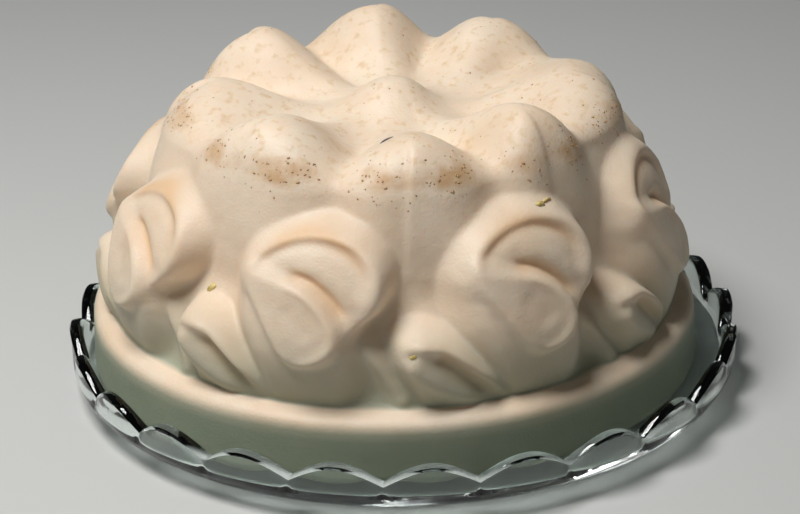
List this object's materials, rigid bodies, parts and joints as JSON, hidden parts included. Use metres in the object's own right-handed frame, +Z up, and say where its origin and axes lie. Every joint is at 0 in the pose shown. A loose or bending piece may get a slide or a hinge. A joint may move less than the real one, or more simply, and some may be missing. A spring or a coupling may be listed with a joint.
{
  "type": "moulded jelly",
  "caption": "Cream-white moulded milk jelly with a lobed crown and scrolled sides, turned out on a low clear glass plate with a scalloped rim.",
  "frame": {"origin": "centre of the plate's foot, on the surface it stands on", "axes": "+Z up, -Y towards the front view, +X to its right"},
  "size_m": [0.1836, 0.1836, 0.0885],
  "materials": {
    "jelly": "moist satin",
    "glass": "clear pressed"
  },
  "bodies": {
    "root": {"jelly": "jelly", "plate": "glass"}
  },
  "joints": []
}
